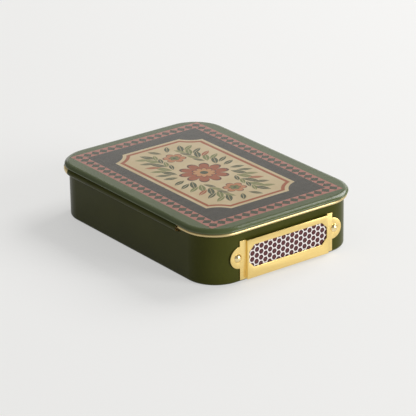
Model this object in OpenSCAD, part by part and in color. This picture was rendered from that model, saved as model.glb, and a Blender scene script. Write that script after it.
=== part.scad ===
// Hinged tinplate match tin with a brass card frame that holds a striker card.
// Origin: centre of the tray's underside. +Z up, X along the long sides,
// the hinge along +Y, the card frame on the -X end.

/* [Tray] */
// Length of the tray, end wall to end wall
body_len = 113; // [104:1:124]
// Width of the tray, front wall to hinge wall
body_wid = 80.4; // [76:0.2:90]
// Corner radius of the tray in plan
corner_r = 14.4; // [12:0.2:18]
// Radius where the floor turns up into the walls
base_r = 1.2; // [0.8:0.1:2]
// Thickness of the tinplate, printed and lacquered
sheet = 0.35; // [0.3:0.05:0.4]
// Height at which the wall steps in behind the lid's curl
step_z = 22.2; // [21.8:0.1:22.3]
// How far the neck stands in from the wall
neck_in = 1.3; // [1.3:0.1:2]
// Radius of the rolled safe edge on the neck
rim_r = 0.6; // [0.5:0.05:0.7]

/* [Lid] */
// Height of the closed tin
total_h = 26; // [25.9:0.1:27]
// How far the lid's nose stands out past the tray wall
overhang = 2; // [1.9:0.1:2.6]
// Radius of the lid's shoulder
shoulder_r = 2.6; // [2.4:0.1:2.8]
// Radius of the nose under the shoulder
nose_r = 0.5; // [0.45:0.05:0.6]
// Angle above level at which the shoulder turns into the nose
nose_deg = 36; // [30:1:42]
// Radius of the outward curl on the lid's edge
curl_r = 0.75; // [0.6:0.05:0.78]
// How far the curl's centre stands out past the tray wall
curl_off = 0.8; // [0.8:0.05:1]

/* [Hinge] */
// Diameter of the hinge wire
wire_d = 1.5; // [1.2:0.1:1.6]
// Outer radius of the lid's hinge roll
roll_r = 1.7; // [1.65:0.05:1.75]
// How far the hinge axis stands out past the tray wall
axis_off = 0.7; // [0.7:0.05:0.9]
// Distance of the roll's cut end from the middle of the tin
roll_end = 36.2; // [35.5:0.1:38]
// Where the roll stops on the far end, from the middle of the tin
roll_stop = 21.8; // [18:0.1:24]
// Width of the cut between roll and curl
cut_w = 0.7; // [0.5:0.1:1]
// Width of each tray tongue round the wire
tongue_w = 12.8; // [8:0.2:16]
// Distance of each tongue's middle from the middle of the tin
tongue_x = 17; // [15:0.5:19]

/* [Card frame] */
// Width of the frame without its ears
frame_wid = 50; // [48:0.5:52]
// Height of the frame
frame_h = 17.7; // [16:0.1:18]
// Height of the frame's lower edge above the table
frame_z = 1; // [1:0.1:1.5]
// How far the frame's middle lies off the middle of the end wall
frame_y = -0.7; // [-1:0.1:1]
// Thickness of the brass sheet
brass_t = 0.5; // [0.4:0.05:0.6]
// Width of the raised panel
panel_wid = 44; // [43:0.5:45]
// Depth of the pocket behind the panel
pocket = 1.3; // [1.2:0.05:1.5]
// Width of the window
window_wid = 42.1; // [38:0.1:42.5]
// Height of the window
window_h = 10.2; // [8:0.1:11]
// Height of the window's middle above the table
window_z = 10.9; // [10:0.1:11.5]
// Corner cut of the window
window_cut = 2.8; // [1:0.1:3.5]
// Radius of the ears
ear_r = 4.9; // [4:0.1:5]
// Height of the ears and rivets above the table
ear_z = 11.3; // [9:0.1:12]

/* [Rivets] */
// Distance of each rivet from the frame's middle
rivet_y = 26.1; // [25.6:0.1:27]
// Diameter of the rivet head
head_d = 3.9; // [3.2:0.1:4.2]
// Height of the rivet head
head_h = 1.1; // [0.8:0.1:1.4]
// Diameter of the rivet shank
shank_d = 2; // [1.6:0.1:2.2]
// Diameter of the set tail inside the tray
tail_d = 3.2; // [2.8:0.1:3.6]
// Height of the set tail
tail_h = 0.7; // [0.5:0.1:1]

/* [Striker card] */
// Thickness of the card
card_t = 1; // [0.8:0.05:1]
// Height of the card
card_h = 16.4; // [14:0.1:16.6]

/* [Fits] */
// Radial clearance of the wire in the lid's roll
run_fit = 0.05; // [0.03:0.01:0.08]
// Radial clearance of the wire in the tray's tongues
tongue_fit = 0.03; // [0.02:0.01:0.05]
// Clearance between the tongues and the lid, sideways and round the outside
hinge_gap = 0.15; // [0.1:0.05:0.2]
// Clearance of the rivet shank in its holes
rivet_fit = 0.05; // [0.03:0.01:0.1]
// Clearance of the card at its sides
card_gap = 0.3; // [0.2:0.05:0.4]

/* [Hidden] */

FINE = 96;
ROUND = 48;
// Overrun of a cutting shape past the face it cuts
over = 0.5;
// Angle steps of a sector's outline
sector_steps = 12;
// Overlap of two arcs that run into each other, in degrees
arc_lap = 2;

// Corner centres in plan, and the straight runs between them
corner_x = body_len / 2 - corner_r;
corner_y = body_wid / 2 - corner_r;

// Lid: the shoulder arc runs on smoothly into the nose arc
nose_u = corner_r + overhang - nose_r;
shoulder_u = nose_u - (shoulder_r - nose_r) * cos(nose_deg);
shoulder_v = total_h - shoulder_r;
nose_v = shoulder_v + (shoulder_r - nose_r) * sin(nose_deg);
tuck_z = nose_v - nose_r;
curl_top_gap = 0.1;
curl_v = tuck_z - curl_top_gap - curl_r;
// Angles between which the skirt is curled outwards
curl_from = 180;
curl_to = 460;

// Hinge axis, and the hinge roll that meets the tuck from below
axis_y = body_wid / 2 + axis_off;
axis_z = tuck_z + sheet / 2 - roll_r;
roll_in = roll_r - sheet;
bore_r = wire_d / 2 + run_fit;
loop_r = roll_in - hinge_gap;
// Height of the tongue's sheet above the axis
tongue_up = 0.35;
// The roll is open on the tray side between these angles, and further at the tongues
roll_from = 100;
roll_to = 260;
slot_to = 292;
// The step in the wall lies lower behind the roll, so that the roll can swing past it
swing_gap = 0.3;
low_step_z = axis_z - roll_r - swing_gap;
// The wire and the lid's inner roll end this far inside the roll's cut end
wire_set_back = 1.7;
wire_half = roll_end - wire_set_back;
// Space at each side of a tongue, between the inner rolls
knuckle_gap = 0.3;
curl_start = roll_end + cut_w;
curl_stop = roll_stop - cut_w;

// Gap between the tray's rolled rim and the lid's outside, and the arc that the rim is rolled through
rim_drop = 1;
rim_z = total_h - rim_drop;
rim_to = 300;
wall_x = body_len / 2;
// Gap under the striker card in its pocket
card_seat = 0.1;

// How far the inside of the end wall has curved away at a distance y from the middle
function wall_sag(y) =
    let (past = max(0, abs(y) - corner_y), r = corner_r - sheet)
    r - sqrt(r * r - past * past);

// Ring sector from angle a to angle b, counterclockwise
module arc_ring(outer, inner, a, b) {
    difference() {
        intersection() {
            circle(r = outer, $fn = ROUND);
            sector(outer, a, b);
        }
        circle(r = inner, $fn = ROUND);
    }
}

// Pie slice that reaches well past the radius r
module sector(r, a, b) {
    rim = [for (i = [0:sector_steps]) let (t = a + (b - a) * i / sector_steps) 2 * r * [cos(t), sin(t)]];
    polygon(concat([[0, 0]], rim));
}

// Sweeps a profile along a stretch of straight side n: 0 is the +X end, 1 the hinge side,
// 2 the -X end and 3 the front. The profile starts on the line through the corner centres.
module side_run(n, from, to) {
    rotate([0, 0, 90 * n])
        translate([n % 2 == 0 ? corner_x : corner_y, to, 0])
            rotate([90, 0, 0])
                linear_extrude(height = to - from)
                    children();
}

// Sweeps a profile round the corner that follows side n
module corner_run(n) {
    rotate([0, 0, 90 * n])
        translate([n % 2 == 0 ? corner_x : corner_y, n % 2 == 0 ? corner_y : corner_x, 0])
            rotate_extrude(angle = 90, $fn = FINE)
                children();
}

// Half length of straight side n
function half_run(n) = n % 2 == 0 ? corner_y : corner_x;

module full_side(n) {
    side_run(n, -half_run(n), half_run(n)) children();
}

// Flat plate between the corner centres
module middle_plate(z) {
    translate([-corner_x, -corner_y, z])
        cube([2 * corner_x, 2 * corner_y, sheet]);
}

// Section of the tray: floor, turned-up edge, wall, step at height z, neck, rolled safe edge
module tray_section(z) {
    neck_u = corner_r - neck_in;
    square([corner_r - base_r, sheet]);
    translate([corner_r - base_r, base_r])
        arc_ring(base_r, base_r - sheet, 270, 360);
    translate([corner_r - sheet, base_r])
        square([sheet, z - base_r]);
    translate([neck_u - sheet, z - sheet])
        square([neck_in + sheet, sheet]);
    translate([neck_u - sheet, z - sheet])
        square([sheet, rim_z - rim_r - z + sheet]);
    translate([neck_u - rim_r, rim_z - rim_r])
        arc_ring(rim_r, rim_r - sheet, 0, rim_to);
}

// Closes the end of the low step against the high one
module step_end() {
    translate([corner_r - neck_in - sheet, low_step_z - sheet])
        square([neck_in + sheet, step_z - low_step_z + sheet]);
}

module tray_shell() {
    middle_plate(0);
    side_run(0, -corner_y, curl_stop) tray_section(step_z);
    side_run(0, curl_stop - sheet, curl_stop) step_end();
    side_run(0, curl_stop, corner_y) tray_section(low_step_z);
    corner_run(0) tray_section(low_step_z);
    side_run(1, -corner_x, curl_start) tray_section(low_step_z);
    side_run(1, curl_start, curl_start + sheet) step_end();
    side_run(1, curl_start, corner_x) tray_section(step_z);
    for (n = [1:3]) corner_run(n) tray_section(step_z);
    for (n = [2:3]) full_side(n) tray_section(step_z);
}

// Tongue that leaves the neck above the axis and wraps round the wire
module tongue() {
    translate([-tongue_w / 2, 0, 0])
        rotate([90, 0, 90])
            linear_extrude(height = tongue_w)
                difference() {
                    union() {
                        translate([axis_y, axis_z])
                            circle(r = loop_r, $fn = ROUND);
                        translate([body_wid / 2 - neck_in - sheet, axis_z + tongue_up])
                            square([axis_off + neck_in + sheet, sheet]);
                    }
                    translate([axis_y, axis_z])
                        circle(r = wire_d / 2 + tongue_fit, $fn = ROUND);
                }
}

// A bore along X through the end wall at one rivet
module rivet_bore(s) {
    translate([-wall_x - brass_t - over, frame_y + s * rivet_y, ear_z])
        rotate([0, 90, 0])
            cylinder(d = shank_d + 2 * rivet_fit, h = sheet + brass_t + 4 * over, $fn = ROUND);
}

module tray() {
    color("#4d4d33")
        difference() {
            union() {
                tray_shell();
                for (s = [-1, 1]) translate([s * tongue_x, 0, 0]) tongue();
            }
            for (s = [-1, 1]) rivet_bore(s);
        }
}

// Section of the lid's plate, shoulder, nose and tuck
module lid_section() {
    translate([0, total_h - sheet])
        square([shoulder_u, sheet]);
    translate([shoulder_u, shoulder_v])
        arc_ring(shoulder_r, shoulder_r - sheet, nose_deg, 90);
    translate([nose_u, nose_v])
        arc_ring(nose_r, nose_r - sheet, -90, nose_deg + arc_lap);
    translate([corner_r + curl_off - curl_r, tuck_z])
        square([nose_u - corner_r - curl_off + curl_r, sheet]);
}

// Section of the skirt and its outward curl
module curl_section() {
    u = corner_r + curl_off;
    translate([u - curl_r, curl_v])
        square([sheet, tuck_z + sheet / 2 - curl_v]);
    translate([u, curl_v])
        arc_ring(curl_r, curl_r - sheet, curl_from, curl_to);
}

// Section of the hinge roll, open on the tray side from angle roll_from to the angle given
module roll_section(open_to) {
    translate([corner_r + axis_off, axis_z])
        difference() {
            circle(r = roll_r, $fn = ROUND);
            circle(r = roll_in, $fn = ROUND);
            sector(roll_r, roll_from, open_to);
        }
}

// Section of the tight inner roll that turns on the wire
module inner_roll_section() {
    translate([corner_r + axis_off, axis_z])
        difference() {
            circle(r = roll_in + sheet / 2, $fn = ROUND);
            circle(r = bore_r, $fn = ROUND);
        }
}

// The inner roll keeps to the middle and the ends; the tongues have the spaces between
module inner_rolls() {
    near = tongue_x - tongue_w / 2 - knuckle_gap;
    far = tongue_x + tongue_w / 2 + knuckle_gap;
    side_run(1, -near, near) inner_roll_section();
    side_run(1, far, wire_half) inner_roll_section();
    side_run(1, -wire_half, -far) inner_roll_section();
}

module hinge_roll() {
    near = tongue_x - tongue_w / 2 - knuckle_gap;
    far = tongue_x + tongue_w / 2 + knuckle_gap;
    side_run(1, -corner_x, -far) roll_section(roll_to);
    side_run(1, -far, -near) roll_section(slot_to);
    side_run(1, -near, near) roll_section(roll_to);
    side_run(1, near, far) roll_section(slot_to);
    side_run(1, far, roll_end) roll_section(roll_to);
    corner_run(0) roll_section(roll_to);
    side_run(0, roll_stop, corner_y) roll_section(roll_to);
    inner_rolls();
}

module lid() {
    color("#6e7459") {
        middle_plate(total_h - sheet);
        for (n = [0:3]) full_side(n) lid_section();
        for (n = [0:3]) corner_run(n) lid_section();
        hinge_roll();
        side_run(1, curl_start, corner_x) curl_section();
        for (n = [1:3]) corner_run(n) curl_section();
        for (n = [2:3]) full_side(n) curl_section();
        side_run(0, -corner_y, curl_stop) curl_section();
    }
}

module hinge_wire() {
    color("#8d8f92")
        translate([-wire_half, axis_y, axis_z])
            rotate([0, 90, 0])
                cylinder(d = wire_d, h = 2 * wire_half, $fn = ROUND);
}

// Places a flat outline drawn in (y, z) so that it reaches from x to x - thick
module end_plate(x, thick) {
    translate([x - thick, 0, 0])
        rotate([90, 0, 90])
            linear_extrude(height = thick)
                children();
}

// Outline of the window: a rectangle with cut corners
module window_outline() {
    a = window_wid / 2;
    b = window_h / 2;
    c = window_cut;
    translate([frame_y, window_z])
        polygon([[-a, c - b], [c - a, -b], [a - c, -b], [a, c - b],
            [a, b - c], [a - c, b], [c - a, b], [-a, b - c]]);
}

module card_frame() {
    inner_wid = panel_wid - 2 * brass_t;
    color("#eacb8e")
        difference() {
            union() {
                end_plate(-wall_x, brass_t) {
                    translate([frame_y - frame_wid / 2, frame_z])
                        square([frame_wid, frame_h]);
                    for (s = [-1, 1]) translate([frame_y + s * frame_wid / 2, ear_z])
                        circle(r = ear_r, $fn = FINE);
                }
                end_plate(-wall_x, pocket + brass_t)
                    translate([frame_y - panel_wid / 2, frame_z])
                        square([panel_wid, frame_h]);
            }
            end_plate(-wall_x + over, pocket + over)
                translate([frame_y - inner_wid / 2, frame_z + brass_t])
                    square([inner_wid, frame_h]);
            end_plate(-wall_x + over, pocket + brass_t + 2 * over)
                window_outline();
            for (s = [-1, 1]) rivet_bore(s);
        }
}

// Domed head outside, shank through ear and wall, set tail inside
module rivet(s) {
    ball_r = (pow(head_d / 2, 2) + pow(head_h, 2)) / (2 * head_h);
    place_y = frame_y + s * rivet_y;
    grip = sheet + brass_t + wall_sag(abs(place_y) + tail_d / 2) + rivet_fit;
    color("#f3dfae")
        translate([-wall_x - brass_t, place_y, ear_z])
            rotate([0, 90, 0]) {
                intersection() {
                    translate([0, 0, ball_r - head_h])
                        sphere(r = ball_r, $fn = FINE);
                    translate([0, 0, -head_h])
                        cylinder(d = head_d, h = head_h, $fn = ROUND);
                }
                cylinder(d = shank_d, h = grip, $fn = ROUND);
                translate([0, 0, grip])
                    cylinder(d = tail_d, h = tail_h, $fn = ROUND);
            }
}

module rivet_rear() {
    rivet(1);
}

module rivet_front() {
    rivet(-1);
}

module striker_card() {
    card_wid = panel_wid - 2 * brass_t - 2 * card_gap;
    color("#efe9e6")
        end_plate(-wall_x - (pocket - card_t) / 2, card_t)
            translate([frame_y - card_wid / 2, frame_z + brass_t + card_seat])
                square([card_wid, card_h]);
}

tray();
lid();
hinge_wire();
card_frame();
rivet_rear();
rivet_front();
striker_card();
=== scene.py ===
import math

import bmesh
import bpy
from mathutils import Matrix, Vector


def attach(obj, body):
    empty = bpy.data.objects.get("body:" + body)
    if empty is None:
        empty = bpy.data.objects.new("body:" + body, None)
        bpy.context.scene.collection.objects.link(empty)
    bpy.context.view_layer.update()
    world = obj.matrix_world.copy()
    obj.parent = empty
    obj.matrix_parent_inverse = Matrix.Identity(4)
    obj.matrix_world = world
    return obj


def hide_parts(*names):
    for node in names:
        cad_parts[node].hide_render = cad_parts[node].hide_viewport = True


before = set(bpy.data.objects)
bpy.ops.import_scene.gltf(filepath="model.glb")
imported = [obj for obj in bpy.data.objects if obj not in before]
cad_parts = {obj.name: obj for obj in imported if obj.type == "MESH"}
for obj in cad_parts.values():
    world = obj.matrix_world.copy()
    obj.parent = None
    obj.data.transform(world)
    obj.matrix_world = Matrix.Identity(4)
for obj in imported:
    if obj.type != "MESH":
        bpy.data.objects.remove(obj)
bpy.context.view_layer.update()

# Camera
# A long lens about a metre away, turned to the tin's card frame corner from above.
# Its place, its line of sight and its small roll come from a fit of the photograph's outline.
CAMERA_PLACE = Vector((-0.78162, 0.57902, 0.41272))
LINE_OF_SIGHT = Vector((0.741357, -0.550909, -0.383262))
CAMERA_ROLL = math.radians(-0.919)
CAMERA_LENS = 206.48
CAMERA_SENSOR = 36

camera = bpy.data.objects.new("camera", bpy.data.cameras.new("camera"))
bpy.context.scene.collection.objects.link(camera)
camera.data.sensor_width = CAMERA_SENSOR
camera.data.lens = CAMERA_LENS
camera.data.clip_start = 0.01
camera.data.clip_end = 20
camera.matrix_world = (
    Matrix.Translation(CAMERA_PLACE)
    @ LINE_OF_SIGHT.to_track_quat("-Z", "Y").to_matrix().to_4x4()
    @ Matrix.Rotation(CAMERA_ROLL, 4, "Z")
)
bpy.context.scene.camera = camera
bpy.context.scene.view_settings.view_transform = "Standard"

# Floor and lamps
# A pale paper floor that runs on into the backdrop, under a broad soft lamp behind the tin to the
# right, a second one on the card frame's side, and a low weak one that the lid's varnish mirrors.
SKY_COLOUR = "#f4f3f0"
SKY_STRENGTH = 0.3
BACKDROP_COLOUR = "#f2f2f2"
FLOOR_HALF = 6.0
FLOOR_COLOUR = "#f9f8f6"
FLOOR_GLOW_COLOUR = "#f6f6f5"
# Share of plain glow in the floor as the camera and shiny surfaces see it
FLOOR_LIFT = 0.52
# Each lamp: name, place in metres, width, height and power in watts
LAMPS = [
    ("window_lamp", (0.1, -1.2, 0.95), 0.9, 0.9, 15.0),
    ("card_side_lamp", (-1.3, -0.65, 0.45), 0.7, 0.7, 14.0),
    ("backdrop_lamp", (1.2, -0.95, 0.34), 1.4, 0.5, 2.5),
]
LAMP_AIM = Vector((0, 0, 0.01))


def linear(hex_code):
    """Linear colour of an sRGB hex code."""
    channels = [int(hex_code[i:i + 2], 16) / 255 for i in (1, 3, 5)]
    return [c / 12.92 if c <= 0.04045 else ((c + 0.055) / 1.055) ** 2.4 for c in channels] + [1.0]


def add(tree, kind, inputs=None, **settings):
    """Adds a node. inputs maps a socket's name or number to a value, a socket or a node's first output."""
    node = tree.nodes.new(kind)
    for name, value in settings.items():
        setattr(node, name, value)
    for name, value in (inputs or {}).items():
        if isinstance(value, bpy.types.Node):
            value = value.outputs[0]
        if isinstance(value, bpy.types.NodeSocket):
            tree.links.new(value, node.inputs[name])
        else:
            node.inputs[name].default_value = value
    return node


def new_material(name):
    """A material with its node tree and its principled shader, wired to the output."""
    material = bpy.data.materials.new(name)
    material.use_nodes = True
    tree = material.node_tree
    tree.nodes.clear()
    shader = add(tree, "ShaderNodeBsdfPrincipled")
    add(tree, "ShaderNodeOutputMaterial", {0: shader})
    return material, tree, shader


world = bpy.data.worlds.new("studio")
bpy.context.scene.world = world
world.use_nodes = True
sky = world.node_tree
sky.nodes.clear()
sky_seen = add(sky, "ShaderNodeBackground", {0: linear(BACKDROP_COLOUR), 1: 1.0})
sky_light = add(sky, "ShaderNodeBackground", {0: linear(SKY_COLOUR), 1: SKY_STRENGTH})
sky_path = add(sky, "ShaderNodeLightPath")
sky_rays = {0: sky_path.outputs["Is Camera Ray"], 1: sky_path.outputs["Is Transmission Ray"]}
sky_share = add(sky, "ShaderNodeMath", sky_rays, operation="MAXIMUM")
sky_mix = add(sky, "ShaderNodeMixShader", {0: sky_share, 1: sky_light, 2: sky_seen})
add(sky, "ShaderNodeOutputWorld", {0: sky_mix})

# Matt studio paper: no highlight of its own, and lifted towards plain white where it is seen
paper, paper_tree, paper_shader = new_material("matt_studio_paper")
paper_shader.inputs["Base Color"].default_value = linear(FLOOR_COLOUR)
paper_shader.inputs["Roughness"].default_value = 0.75
paper_shader.inputs["Specular IOR Level"].default_value = 0.2
paper_glow = add(paper_tree, "ShaderNodeEmission", {0: linear(FLOOR_GLOW_COLOUR), 1: 1.0})
paper_path = add(paper_tree, "ShaderNodeLightPath")
paper_rays = {0: paper_path.outputs["Is Camera Ray"], 1: paper_path.outputs["Is Glossy Ray"]}
paper_seen = add(paper_tree, "ShaderNodeMath", paper_rays, operation="MAXIMUM")
paper_share = add(paper_tree, "ShaderNodeMath", {0: paper_seen, 1: FLOOR_LIFT}, operation="MULTIPLY")
paper_mix = add(paper_tree, "ShaderNodeMixShader", {0: paper_share, 1: paper_shader, 2: paper_glow})
paper_tree.links.new(paper_mix.outputs[0], paper_tree.get_output_node("ALL").inputs[0])

floor_mesh = bpy.data.meshes.new("floor")
floor_corners = [(x * FLOOR_HALF, y * FLOOR_HALF, 0) for x, y in ((-1, -1), (1, -1), (1, 1), (-1, 1))]
floor_mesh.from_pydata(floor_corners, [], [(0, 1, 2, 3)])
floor_mesh.materials.append(paper)
floor = bpy.data.objects.new("floor", floor_mesh)
bpy.context.scene.collection.objects.link(floor)

for lamp_name, lamp_place, lamp_wide, lamp_high, lamp_power in LAMPS:
    lamp_data = bpy.data.lights.new(lamp_name, "AREA")
    lamp_data.shape = "RECTANGLE"
    lamp_data.size = lamp_wide
    lamp_data.size_y = lamp_high
    lamp_data.energy = lamp_power
    lamp = bpy.data.objects.new(lamp_name, lamp_data)
    lamp.location = lamp_place
    lamp.rotation_euler = (LAMP_AIM - Vector(lamp_place)).to_track_quat("-Z", "Y").to_euler()
    bpy.context.scene.collection.objects.link(lamp)

# Tray
# The lower half of the tin, drawn from one sheet of tinplate, varnished dark green outside
# and lacquered gold inside. A stepped neck behind the lid's curl carries the rolled safe edge.
# From here on, sizes are in millimetres in the part's own frame.
TIN_LENGTH = 113.0
TIN_WIDTH = 80.4
TIN_CORNER = 14.4
BASE_RADIUS = 1.2
TRAY_GREEN = "#454717"
TRAY_GREEN_DEEP = "#3e4011"
GOLD_LACQUER = "#decb98"
GOLD_LACQUER_DEEP = "#d6bf88"
# How far a face's middle may lie inside the outline and be on the wall, or above the base's round
WALL_ZONE = 0.6
BASE_MARGIN = 0.1
# Least part of a face's normal that points down or out on the base's round, that points out on
# the outer wall, and that points up or down on a level face
TURNED = 0.02
FACING_OUT = 0.1
LEVEL = 0.5


def in_mm(tree):
    """The part's own x, y and z in millimetres."""
    in_metres = add(tree, "ShaderNodeTexCoord").outputs["Object"]
    return add(tree, "ShaderNodeVectorMath", {0: in_metres, "Scale": 1000.0}, operation="SCALE")


def drifting(tree, light_hex, dark_hex, patch_mm, contrast=0.2):
    """A colour that drifts between two close tones in patches of some mm along x, y and z."""
    place = add(tree, "ShaderNodeVectorMath", {0: in_mm(tree), 1: patch_mm}, operation="DIVIDE")
    noise = add(tree, "ShaderNodeTexNoise", {"Vector": place, "Scale": 1.0, "Detail": 3.0})
    share = add(tree, "ShaderNodeMapRange", {0: noise, 1: 0.5 - contrast, 2: 0.5 + contrast})
    tones = {0: share, 6: linear(dark_hex), 7: linear(light_hex)}
    return add(tree, "ShaderNodeMix", tones, data_type="RGBA").outputs[2]


def orange_peel(tree, shader, wave_mm, height_mm):
    """Gives a shader the faint waviness of a stoved coat."""
    noise = add(tree, "ShaderNodeTexNoise", {"Vector": in_mm(tree), "Scale": 1 / wave_mm, "Detail": 2.0})
    bump = add(tree, "ShaderNodeBump", {"Height": noise, "Distance": height_mm / 1000, "Strength": 1.0})
    tree.links.new(bump.outputs[0], shader.inputs["Normal"])


def outward(point):
    """How far a point in mm lies outside the rectangle of the corner centres, and in which direction."""
    away = Vector((0.0, 0.0, 0.0))
    for i, half in ((0, TIN_LENGTH / 2 - TIN_CORNER), (1, TIN_WIDTH / 2 - TIN_CORNER)):
        away[i] = point[i] - max(-half, min(half, point[i]))
    return away.length, away.normalized()


def dress(node_name, materials, pick=None):
    """Gives a CAD node its materials. pick gets a face's middle in mm and its normal, and returns which."""
    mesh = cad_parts[node_name].data
    mesh.materials.clear()
    for material in materials:
        mesh.materials.append(material)
    for face in mesh.polygons:
        face.material_index = pick(face.center * 1000, face.normal) if pick else 0


def tray_pick(middle, normal):
    """0 for the varnished outside, 1 for the lacquered inside and neck."""
    reach, away = outward(middle)
    facing = normal.dot(away)
    if middle.z < BASE_RADIUS + BASE_MARGIN:
        return 0 if normal.z < -TURNED or facing > TURNED else 1
    if reach > TIN_CORNER - WALL_ZONE:
        return 0 if facing > FACING_OUT or abs(normal.z) > LEVEL else 1
    return 1


# Stoved green varnish over tinplate: a satin coat with weak highlights and a faint orange peel
varnish, varnish_tree, varnish_shader = new_material("stoved_green_varnish_on_tinplate")
varnish_tone = drifting(varnish_tree, TRAY_GREEN, TRAY_GREEN_DEEP, patch_mm=(20, 20, 20))
varnish_tree.links.new(varnish_tone, varnish_shader.inputs["Base Color"])
varnish_shader.inputs["Roughness"].default_value = 0.3
varnish_shader.inputs["IOR"].default_value = 1.5
varnish_shader.inputs["Specular IOR Level"].default_value = 0.1
orange_peel(varnish_tree, varnish_shader, wave_mm=1.667, height_mm=0.02)

# Gold lacquer on tinplate: the sheet's metal shows warm through a clear yellow coat
lacquer, lacquer_tree, lacquer_shader = new_material("gold_lacquer_on_tinplate")
lacquer_tone = drifting(lacquer_tree, GOLD_LACQUER, GOLD_LACQUER_DEEP, patch_mm=(25, 25, 25))
lacquer_tree.links.new(lacquer_tone, lacquer_shader.inputs["Base Color"])
lacquer_shader.inputs["Metallic"].default_value = 0.85
lacquer_shader.inputs["Roughness"].default_value = 0.37
orange_peel(lacquer_tree, lacquer_shader, wave_mm=1.111, height_mm=0.01)

dress("tray", [varnish, lacquer], tray_pick)

# Hinge wire
# Drawn mild steel wire inside the lid's hinge roll. The tray's tongues and the lid's inner
# rolls turn on it, and only its ends show.
STEEL = "#9a9c9e"
STEEL_DARK = "#7c7e80"

# Drawn mild steel: a grey satin metal with fine darker flecks
steel, steel_tree, steel_shader = new_material("drawn_mild_steel")
steel_tone = drifting(steel_tree, STEEL, STEEL_DARK, patch_mm=(0.667, 0.667, 0.667))
steel_tree.links.new(steel_tone, steel_shader.inputs["Base Color"])
steel_shader.inputs["Metallic"].default_value = 1.0
steel_shader.inputs["Roughness"].default_value = 0.35
dress("hinge_wire", [steel])

# Card frame
# One pressing of thin sheet brass with a raised panel, a window with cut corners and two
# round ears, riveted flat on the end wall. Its edges are broken by tumbling.
BRASS = "#fde59c"
BRASS_DEEP = "#f0ce80"
# Size of the brushed lines: through the sheet, along the frame and up it
BRUSHED_LINE = (0.625, 5.208, 0.15625)
BRUSHED_DEPTH = 0.02
# Roughness between the lines and on them
BRASS_ROUGHNESS = (0.26, 0.4)
FRAME_EDGE_BREAK = 0.12
# An edge is broken where its faces meet at more than this angle
SHARP_EDGE = math.radians(35)
# Points nearer than this are one, and faces that meet at less than this angle are one flat face
SAME_POINT = 0.001
SAME_FACE = math.radians(0.5)


def softened(name, node_name, edge_break_mm, material):
    """Puts a copy of a CAD node, its edges broken by a small round, on the tin's body in its place."""
    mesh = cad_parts[node_name].data.copy()
    work = bmesh.new()
    work.from_mesh(mesh)
    bmesh.ops.remove_doubles(work, verts=work.verts, dist=SAME_POINT / 1000)
    bmesh.ops.dissolve_limit(work, angle_limit=SAME_FACE, verts=work.verts, edges=work.edges)
    work.to_mesh(mesh)
    work.free()
    mesh.materials.clear()
    mesh.materials.append(material)
    for face in mesh.polygons:
        face.material_index = 0
        face.use_smooth = True
    piece = bpy.data.objects.new(name, mesh)
    bpy.context.scene.collection.objects.link(piece)
    bevel = piece.modifiers.new("edge_break", "BEVEL")
    bevel.width = edge_break_mm / 1000
    bevel.segments = 2
    bevel.limit_method = "ANGLE"
    bevel.angle_limit = SHARP_EDGE
    bevel.harden_normals = True
    bevel.use_clamp_overlap = True
    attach(piece, "tin_body")
    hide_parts(node_name)


# Sheet brass, brushed along its length and lacquered: a warm broad highlight with fine lines
brass, brass_tree, brass_shader = new_material("satin_sheet_brass")
brushing = {0: in_mm(brass_tree), 1: BRUSHED_LINE}
brass_place = add(brass_tree, "ShaderNodeVectorMath", brushing, operation="DIVIDE")
brass_grain = add(brass_tree, "ShaderNodeTexNoise", {"Vector": brass_place, "Scale": 1.0, "Detail": 4.0})
brass_tones = {0: brass_grain, 6: linear(BRASS_DEEP), 7: linear(BRASS)}
brass_tone = add(brass_tree, "ShaderNodeMix", brass_tones, data_type="RGBA")
brass_tree.links.new(brass_tone.outputs[2], brass_shader.inputs["Base Color"])
brass_shader.inputs["Metallic"].default_value = 1.0
brass_shine = {0: brass_grain, 3: BRASS_ROUGHNESS[0], 4: BRASS_ROUGHNESS[1]}
brass_rough = add(brass_tree, "ShaderNodeMapRange", brass_shine)
brass_tree.links.new(brass_rough.outputs[0], brass_shader.inputs["Roughness"])
brass_scratch = {"Height": brass_grain, "Distance": BRUSHED_DEPTH / 1000, "Strength": 0.5}
brass_bump = add(brass_tree, "ShaderNodeBump", brass_scratch)
brass_tree.links.new(brass_bump.outputs[0], brass_shader.inputs["Normal"])
softened("brass_card_frame", "card_frame", FRAME_EDGE_BREAK, brass)

# Rivets
# Two brass rivets with turned domes, one through each ear of the frame and the tray's end wall.
# Their tails are set over inside the tray.
RIVET_BRASS = "#f8e6b4"
RIVET_BRASS_DEEP = "#ecd08e"
RIVET_EDGE_BREAK = 0.06

# Turned brass: smoother than the sheet, so each dome carries one small bright spot
rivet_metal, rivet_tree, rivet_shader = new_material("turned_rivet_brass")
rivet_tone = drifting(rivet_tree, RIVET_BRASS, RIVET_BRASS_DEEP, patch_mm=(1.25, 1.25, 1.25))
rivet_tree.links.new(rivet_tone, rivet_shader.inputs["Base Color"])
rivet_shader.inputs["Metallic"].default_value = 1.0
rivet_shader.inputs["Roughness"].default_value = 0.24
for end in ("rear", "front"):
    softened("brass_rivet_" + end, "rivet_" + end, RIVET_EDGE_BREAK, rivet_metal)

# Striker card
# Thin pale board, printed with round dots of dark red striking compound in a hexagonal
# lattice, and pushed into the frame from above.
COMPOUND = "#3a0f13"
COMPOUND_WORN = "#743438"
BOARD = "#efeae8"
# Distance of two dots in a column, and of one column from the next
DOT_PITCH = 2.7
DOT_COLUMN = 2.355
# The lattice was printed a little askew
DOT_TURN = math.radians(3.3)
DOT_RADIUS = 1.13
DOT_BLUR = 0.06
DOT_HEIGHT = 0.06
# Each dot's paler heart: its radius, and its share of the worn colour
CORE_RADIUS = 0.45
CORE_BLUR = 0.25
CORE_WEAR = 0.5
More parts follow.
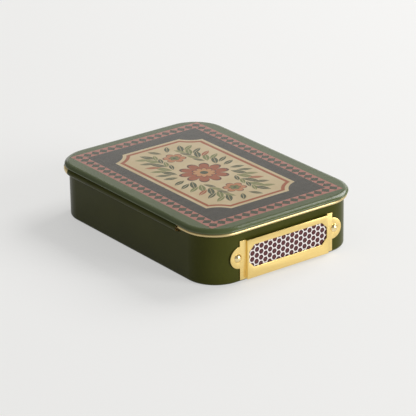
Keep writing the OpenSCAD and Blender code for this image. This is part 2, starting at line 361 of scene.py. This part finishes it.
# Size of the grit, the noise between which it shows, and its share of the worn colour
GRIT = 0.4545
GRIT_SHOWS = (0.4, 0.75)
GRIT_WEAR = 0.4
HALF_ROOT_3 = math.sqrt(3) / 2

# Striking compound on board: matt and gritty raised dots, paler at the heart, on dull white board
striker, dots, striker_shader = new_material("striking_compound_on_board")
on_face = add(dots, "ShaderNodeVectorMath", {0: in_mm(dots), 1: (0, 1, 1)}, operation="MULTIPLY")
askew = add(dots, "ShaderNodeVectorRotate", {"Vector": on_face, "Angle": -DOT_TURN}, rotation_type="X_AXIS")

# The lattice is two rectangular ones. In each, a dot's outline is halfway from a circle to a hexagon.
cell_half = (1, DOT_COLUMN, DOT_PITCH / 2)
dot_distances = []
for corner in ((0, 0, 0), (0, DOT_COLUMN, DOT_PITCH / 2)):
    shifted = add(dots, "ShaderNodeVectorMath", {0: askew, 1: corner}, operation="ADD")
    limits = {0: shifted, 1: cell_half, 2: [-half for half in cell_half]}
    cell = add(dots, "ShaderNodeVectorMath", limits, operation="WRAP")
    circle = add(dots, "ShaderNodeVectorMath", {0: cell}, operation="LENGTH").outputs[1]
    folded_cell = add(dots, "ShaderNodeVectorMath", {0: cell}, operation="ABSOLUTE")
    flat_side = {0: folded_cell, 1: (0, 0, 1)}
    flat = add(dots, "ShaderNodeVectorMath", flat_side, operation="DOT_PRODUCT").outputs[1]
    leaning_side = {0: folded_cell, 1: (0, HALF_ROOT_3, 0.5)}
    lean = add(dots, "ShaderNodeVectorMath", leaning_side, operation="DOT_PRODUCT").outputs[1]
    hexagon = add(dots, "ShaderNodeMath", {0: flat, 1: lean}, operation="MAXIMUM")
    dot_distances.append(add(dots, "ShaderNodeMix", {0: 0.5, 2: hexagon, 3: circle}))
dot_distance = add(dots, "ShaderNodeMath", {0: dot_distances[0], 1: dot_distances[1]}, operation="MINIMUM")
dot_rim = {0: dot_distance, 1: DOT_RADIUS + DOT_BLUR, 2: DOT_RADIUS - DOT_BLUR}
dot_mask = add(dots, "ShaderNodeMapRange", dot_rim)
core_rim = {0: dot_distance, 1: CORE_RADIUS + CORE_BLUR, 2: CORE_RADIUS - CORE_BLUR}
core = add(dots, "ShaderNodeMapRange", core_rim)
grit = add(dots, "ShaderNodeTexNoise", {"Vector": in_mm(dots), "Scale": 1 / GRIT, "Detail": 5.0})
grit_share = add(dots, "ShaderNodeMapRange", {0: grit, 1: GRIT_SHOWS[0], 2: GRIT_SHOWS[1]})
core_worn = add(dots, "ShaderNodeMath", {0: core, 1: CORE_WEAR}, operation="MULTIPLY")
worn = add(dots, "ShaderNodeMath", {0: grit_share, 1: GRIT_WEAR, 2: core_worn}, operation="MULTIPLY_ADD")
compound_tones = {0: worn, 6: linear(COMPOUND), 7: linear(COMPOUND_WORN)}
compound = add(dots, "ShaderNodeMix", compound_tones, data_type="RGBA").outputs[2]
striker_tones = {0: dot_mask, 6: linear(BOARD), 7: compound}
striker_tone = add(dots, "ShaderNodeMix", striker_tones, data_type="RGBA").outputs[2]
dots.links.new(striker_tone, striker_shader.inputs["Base Color"])
striker_shader.inputs["Roughness"].default_value = 0.7
dot_edge = {"Height": dot_mask, "Distance": DOT_HEIGHT / 1000, "Strength": 0.6}
striker_bump = add(dots, "ShaderNodeBump", dot_edge)
dots.links.new(striker_bump.outputs[0], striker_shader.inputs["Normal"])
dress("striker_card", [striker])

# Lid
# The upper half, drawn from tinplate and offset printed before drawing: a green ground, a
# border of lozenges, a dark ruled panel and a pale notched field with flowers and leaves.
LID_GREEN = "#56613a"
LID_GREEN_DEEP = "#505b34"
LOZENGE_PINK = "#ae7061"
LOZENGE_GREEN = "#3a3d20"
PANEL = "#443d2f"
PANEL_DEEP = "#322d22"
# Width of the panel's ruled lines along x, and their length along y
PANEL_LINE = (0.6944, 18.52, 1.111)
CREAM = "#c6b085"
CREAM_LIGHT = "#d0bc94"
RUST = "#9c4f20"
RUST_DEEP = "#64330f"
OCHRE = "#b9794a"
OCHRE_LIGHT = "#c08a55"
LEAF = "#414719"
LEAF_LIGHT = "#72763c"
# Half lengths and half widths of the border's two edges and of the field
BAND_OUTER = (52.4, 35.3)
BAND_INNER = (47.0, 30.0)
FIELD = (40.0, 24.05)
# The bite out of each corner of the field
NOTCH_CENTRE = (45.2, 26.5, 0)
NOTCH_RADIUS = 12.0
# How far the keyline's middle lies inside the field's edge, and half its width
KEYLINE_IN = 2.4
KEYLINE_HALF = 0.8
# Diamonds along each side with the corner ones, half their height across the border, how far
# their row lies inside the border's middle, and their size as a share of tip to tip
LOZENGES_LONG = 24
LOZENGES_SHORT = 16
LOZENGE_REACH = 2.5
LOZENGE_SHIFT = 0.2
LOZENGE_SHARE = 0.98
# Share of a flower's radius that its petals' round ends take, and that its eye takes
PETAL_DEPTH = 0.45
EYE = 0.16
# Share of a leaf's width within which its pale rib runs, and half the rib's width
RIB_REACH = 0.8
RIB_HALF = 0.12
# Half the width over which one ink passes into the next
SOFT_EDGE = 0.12

# Offset inks under clear varnish: flat colours with a soft sheen that brightens towards the light
printed, art, art_shader = new_material("offset_print_under_varnish")
art_shader.inputs["Roughness"].default_value = 0.24
art_shader.inputs["IOR"].default_value = 1.5
art_shader.inputs["Specular IOR Level"].default_value = 0.5
orange_peel(art, art_shader, wave_mm=1.667, height_mm=0.015)

# The print is the same in its four quarters, so x and y are folded onto one of them
folded = add(art, "ShaderNodeVectorMath", {0: in_mm(art)}, operation="ABSOLUTE")
folded = add(art, "ShaderNodeVectorMath", {0: folded, 1: (1, 1, 0)}, operation="MULTIPLY")
folded_parts = add(art, "ShaderNodeSeparateXYZ", {0: folded})
fold_x = folded_parts.outputs[0]
fold_y = folded_parts.outputs[1]


def below(value, limit):
    """Mask that is 1 where a value is below the limit, with a soft edge."""
    return add(art, "ShaderNodeMapRange", {0: value, 1: limit + SOFT_EDGE, 2: limit - SOFT_EDGE})


def both(first, second):
    """Mask that is 1 where both masks are."""
    return add(art, "ShaderNodeMath", {0: first, 1: second}, operation="MULTIPLY")


def outside(mask):
    """Mask that is 1 where the other is 0."""
    return add(art, "ShaderNodeMath", {0: 1.0, 1: mask}, operation="SUBTRACT")


def paint(under, mask, over):
    """Lays an ink, a hex code or a drifting colour, over a colour where the mask is 1."""
    ink = linear(over) if isinstance(over, str) else over
    return add(art, "ShaderNodeMix", {0: mask, 6: under, 7: ink}, data_type="RGBA").outputs[2]


def rectangle(half_x, half_y):
    """Mask of a rectangle about the lid's middle."""
    return both(below(fold_x, half_x), below(fold_y, half_y))


def notched(grow):
    """Mask of the field grown by some mm: a rectangle with a shallow round bite out of each corner."""
    away = add(art, "ShaderNodeVectorMath", {0: folded, 1: NOTCH_CENTRE}, operation="DISTANCE").outputs[1]
    return both(rectangle(FIELD[0] + grow, FIELD[1] + grow), outside(below(away, NOTCH_RADIUS - grow)))


def diamonds(along, half_along, count, across, middle):
    """Mask of a row of diamonds tip to tip, from one corner of the border to the next."""
    half_pitch = half_along / (count - 1)
    start = add(art, "ShaderNodeMath", {0: along, 1: half_along}, operation="ADD")
    step = add(art, "ShaderNodeMath", {0: start, 1: half_pitch}, operation="PINGPONG")
    offset = add(art, "ShaderNodeMath", {0: across, 1: middle}, operation="SUBTRACT")
    off = add(art, "ShaderNodeMath", {0: offset}, operation="ABSOLUTE")
    slope = half_pitch / LOZENGE_REACH
    lean = add(art, "ShaderNodeMath", {0: off, 1: slope, 2: step}, operation="MULTIPLY_ADD")
    return below(lean, half_pitch * LOZENGE_SHARE)


def flower(under, x, radius, petals, petal_tone, heart_tone):
    """Paints a flower with round petals on the long middle line, x mm to each side of the middle."""
    from_heart = add(art, "ShaderNodeVectorMath", {0: folded, 1: (x, 0, 0)}, operation="SUBTRACT")
    reach = add(art, "ShaderNodeVectorMath", {0: from_heart}, operation="LENGTH").outputs[1]
    parts = add(art, "ShaderNodeSeparateXYZ", {0: from_heart})
    angle = add(art, "ShaderNodeMath", {0: parts.outputs[1], 1: parts.outputs[0]}, operation="ARCTAN2")
    turns = add(art, "ShaderNodeMath", {0: angle, 1: petals / 2}, operation="MULTIPLY")
    wave = add(art, "ShaderNodeMath", {0: turns}, operation="COSINE")
    lobes = add(art, "ShaderNodeMath", {0: wave}, operation="ABSOLUTE")
    petal = add(art, "ShaderNodeMath", {0: lobes}, operation="SQRT")
    # From the outside in: share of the radius and ink of an outline, the petals, an outline, the heart
    for share, ink in ((1.0, RUST_DEEP), (0.9, petal_tone), (0.5, RUST_DEEP), (0.44, heart_tone)):
        depth = PETAL_DEPTH * radius * share
        drawn_in = add(art, "ShaderNodeMath", {0: petal, 1: -depth, 2: reach}, operation="MULTIPLY_ADD")
        under = paint(under, below(drawn_in, radius * share - depth), ink)
    return paint(under, below(reach, EYE * radius), LEAF)


def leaf(under, x, y, length, width, turn, ink):
    """Paints a pointed leaf with a pale rib in each quarter. length and width are half sizes in mm."""
    place = {"Vector": folded, "Location": (x, y, 0), "Rotation": (0, 0, turn)}
    on_leaf = add(art, "ShaderNodeMapping", place, vector_type="TEXTURE")
    parts = add(art, "ShaderNodeSeparateXYZ", {0: on_leaf})
    side = add(art, "ShaderNodeMath", {0: parts.outputs[1]}, operation="ABSOLUTE")
    square = add(art, "ShaderNodeMath", {0: parts.outputs[0], 1: parts.outputs[0]}, operation="MULTIPLY")
    bulge = width / length ** 2
    reach = add(art, "ShaderNodeMath", {0: square, 1: bulge, 2: side}, operation="MULTIPLY_ADD")
    under = paint(under, below(reach, width), ink)
    return paint(under, both(below(reach, width * RIB_REACH), below(side, RIB_HALF)), CREAM)


# Ground, then the border: dark diamonds with one in each corner, on a pink band
colour = drifting(art, LID_GREEN, LID_GREEN_DEEP, patch_mm=(20, 20, 20), contrast=0.15)
band = both(rectangle(*BAND_OUTER), outside(rectangle(*BAND_INNER)))
band_x, band_y = [(outer + inner) / 2 - LOZENGE_SHIFT for outer, inner in zip(BAND_OUTER, BAND_INNER)]
long_row = diamonds(fold_x, band_x, LOZENGES_LONG, fold_y, band_y)
short_row = diamonds(fold_y, band_y, LOZENGES_SHORT, fold_x, band_x)
diamond = add(art, "ShaderNodeMix", {0: below(fold_x, BAND_INNER[0]), 2: short_row, 3: long_row})
colour = paint(colour, band, LOZENGE_PINK)
colour = paint(colour, both(band, diamond), LOZENGE_GREEN)

# Panel, field and keyline
panel = drifting(art, PANEL, PANEL_DEEP, patch_mm=PANEL_LINE, contrast=0.15)
colour = paint(colour, rectangle(*BAND_INNER), panel)
field = drifting(art, CREAM_LIGHT, CREAM, patch_mm=(12.5, 12.5, 12.5), contrast=0.15)
colour = paint(colour, notched(0.0), field)
keyline = both(notched(KEYLINE_HALF - KEYLINE_IN), outside(notched(-KEYLINE_HALF - KEYLINE_IN)))
colour = paint(colour, keyline, RUST)

# The ornament: leaves round a large flower in the middle and a small one at each side of it
LEAF_ROWS = [
    # number of leaves, first x, step in x, first y, step in y, length, width, turn in degrees, inks
    (5, 9.0, 5.2, 12.6, -0.9, 4.2, 1.5, 28, (LEAF, LEAF_LIGHT)),
    (5, 8.0, 5.2, 16.2, -0.9, 3.6, 1.2, 62, (LEAF, LEAF_LIGHT, RUST)),
    (4, 14.0, 4.4, 7.4, -0.2, 3.2, 1.1, -24, (LEAF, LEAF_LIGHT)),
    (1, 32.5, 0.0, 3.4, 0.0, 3.4, 1.2, 32, (LEAF,)),
    (1, 3.2, 0.0, 15.8, 0.0, 3.4, 1.3, 72, (LEAF,)),
]
for count, first_x, step_x, first_y, step_y, length, width, turn, inks in LEAF_ROWS:
    for i in range(count):
        place = (first_x + step_x * i, first_y + step_y * i)
        colour = leaf(colour, *place, length, width, math.radians(turn), inks[i % len(inks)])
colour = flower(colour, x=22.0, radius=5.4, petals=6, petal_tone=OCHRE, heart_tone=LEAF_LIGHT)
colour = flower(colour, x=0.0, radius=11.5, petals=10, petal_tone=RUST, heart_tone=OCHRE_LIGHT)
art.links.new(colour, art_shader.inputs["Base Color"])

SHEET = 0.35
LID_TOP = 26.0
# Height at which the printed skirt tucks in towards the gold curl
TUCK_HEIGHT = 24.13
TUCK_MARGIN = 0.05
# Least part of a face's normal that points up on the printed top
FACING_UP = 0.05
# The hinge roll: x of its cut end, y at which it stops past the far corner, y and z of its axis, the
# radius inside which it shows gold, and how far it reaches in from the outline
CUT_END = -36.4
ROLL_STOP = 21.5
AXIS = (40.9, 22.609)
ROLL_INSIDE = 1.5
ROLL_ZONE = 1.1


def lid_pick(middle, normal):
    """0 for the printed outside, 1 for the gold curl and inside, 2 for the green hinge roll."""
    reach, away = outward(middle)
    if middle.z > TUCK_HEIGHT - TUCK_MARGIN:
        at_tuck = middle.z < TUCK_HEIGHT + 2 * TUCK_MARGIN
        shows = at_tuck or normal.z > FACING_UP or normal.dot(away) > TURNED
        under_top = reach < TIN_CORNER and middle.z < LID_TOP - SHEET / 2
        return 0 if shows and not under_top else 1
    on_roll = middle.x > CUT_END and middle.y > ROLL_STOP and reach > TIN_CORNER - ROLL_ZONE
    if on_roll and math.hypot(middle.y - AXIS[0], middle.z - AXIS[1]) > ROLL_INSIDE:
        return 2
    return 1


dress("lid", [printed, lacquer, varnish], lid_pick)
